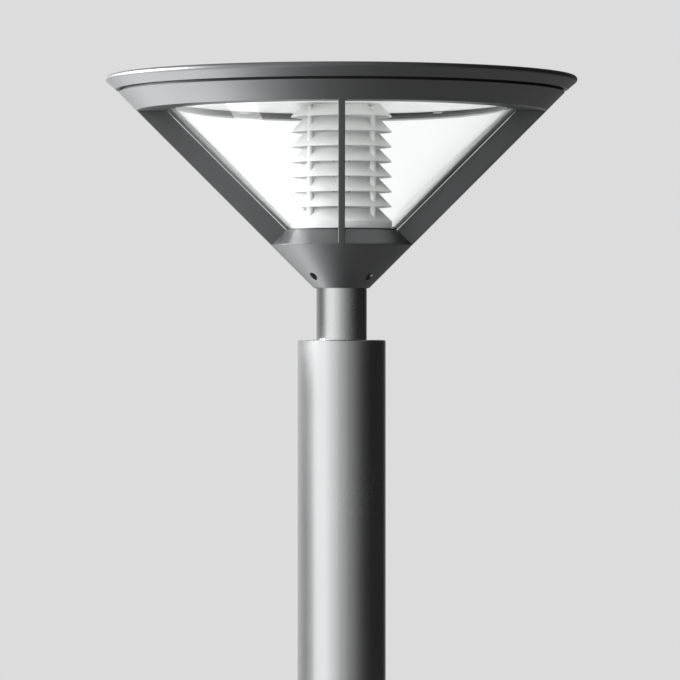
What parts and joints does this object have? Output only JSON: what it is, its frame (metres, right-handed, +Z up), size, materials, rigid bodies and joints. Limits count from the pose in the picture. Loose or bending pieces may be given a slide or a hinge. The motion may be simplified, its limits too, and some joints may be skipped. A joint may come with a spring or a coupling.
{
  "type": "street lamp post",
  "caption": "Round steel lamp post with a base plate and service door, carrying a conical glass luminaire with ribs, a white louvre and a flat hinged lid.",
  "frame": {"origin": "centre of the anchor hole pattern on the underside of the base plate, at ground level", "axes": "+Z up along the pole; -Y is the front, with the service door; +Y is the back, with the lid's hinge; +X is to the right seen from the front"},
  "size_m": [0.71, 0.73, 3.9095],
  "materials": {
    "base_coat": "fine textured powder coat",
    "pole_coat": "satin metallic powder coat",
    "head_coat": "fine textured metallic powder coat",
    "galvanised": "hot-dip galvanised",
    "stainless": "stainless, machined",
    "brass": "machined",
    "seal": "matte silicone",
    "gland_black": "moulded",
    "cable_black": "smooth sheath",
    "clear_glass": "clear, fire polished",
    "louvre_white": "matt moulded",
    "reflector_white": "matt white enamel",
    "lamp_glass": "clear quartz",
    "arc_ceramic": "translucent ceramic",
    "lamp_ceramic": "unglazed ceramic",
    "terminal_white": "moulded",
    "ballast_paint": "dipped varnish",
    "ignitor_resin": "moulded",
    "capacitor_can": "drawn can",
    "box_black": "moulded",
    "cover_grey": "moulded"
  },
  "bodies": {
    "post": {"base_plate": "base_coat", "base_weld": "base_coat", "pole_tube": "pole_coat", "pole_cap": "pole_coat", "spigot": "pole_coat", "spigot_guide": "galvanised", "door_frame": "galvanised", "door_gasket": "seal", "gear_bar": "galvanised", "bar_brackets": "galvanised", "ballast": "ballast_paint", "ignitor": "ignitor_resin", "capacitor": "capacitor_can", "fuse_box": "box_black", "fuse_box_cover": "cover_grey", "fuse_links": "terminal_white", "box_glands": "gland_black", "earth_bolt": "brass", "lamp_cable": "cable_black", "hub": "head_coat", "set_screws": "stainless", "gland_plate": "galvanised", "cable_gland": "gland_black", "terminal_block": "terminal_white", "rib_right": "head_coat", "rib_back": "head_coat", "rib_left": "head_coat", "rib_front": "head_coat", "rib_screws": "stainless", "frame_ring": "head_coat", "glass_cone": "clear_glass", "glass_seal_lower": "seal", "glass_seal_upper": "seal", "glass_clips": "stainless", "clip_screws": "stainless", "louvre_base": "louvre_white", "louvre_ring_1": "louvre_white", "louvre_ring_2": "louvre_white", "louvre_ring_3": "louvre_white", "louvre_ring_4": "louvre_white", "louvre_ring_5": "louvre_white", "louvre_ring_6": "louvre_white", "louvre_ring_7": "louvre_white", "louvre_ring_8": "louvre_white", "tie_rods": "stainless", "louvre_nuts": "stainless", "lamp_holder": "lamp_ceramic", "lid_gasket": "seal", "hinge_pin": "stainless"},
    "lid": {"lid": "head_coat", "reflector": "reflector_white", "reflector_posts": "stainless"},
    "lid_screw_l": {"lid_screw_left": "stainless"},
    "lid_screw_r": {"lid_screw_right": "stainless"},
    "lamp": {"lamp_base": "lamp_ceramic", "lamp_bulb": "lamp_glass", "arc_tube": "arc_ceramic"},
    "door": {"service_door": "pole_coat"},
    "door_screw_t": {"door_screw_top": "stainless"},
    "door_screw_b": {"door_screw_bottom": "stainless"}
  },
  "joints": [
    {"name": "lid_hinge", "type": "hinge", "parent": "post", "child": "lid", "pos_m": [0, 0.366, 3.884], "axis": [-1, 0, 0], "range_deg": [0, 95]},
    {"name": "lid_screw_left_turn", "type": "hinge", "parent": "lid", "child": "lid_screw_l", "pos_m": [-0.1983, -0.23633, 3.89], "axis": [0, 0, 1], "continuous": true},
    {"name": "lid_screw_right_turn", "type": "hinge", "parent": "lid", "child": "lid_screw_r", "pos_m": [0.1983, -0.23633, 3.89], "axis": [0, 0, 1], "continuous": true},
    {"name": "lamp_pull", "type": "slide", "parent": "post", "child": "lamp", "axis": [0, 0, 1], "range_m": [0, 0.025]},
    {"name": "door_pull", "type": "slide", "parent": "post", "child": "door", "axis": [0, -1, 0], "range_m": [0, 0.12]},
    {"name": "door_screw_top_turn", "type": "hinge", "parent": "door", "child": "door_screw_t", "pos_m": [0, -0.066, 0.885], "axis": [0, -1, 0], "continuous": true},
    {"name": "door_screw_bottom_turn", "type": "hinge", "parent": "door", "child": "door_screw_b", "pos_m": [0, -0.066, 0.515], "axis": [0, -1, 0], "continuous": true}
  ]
}
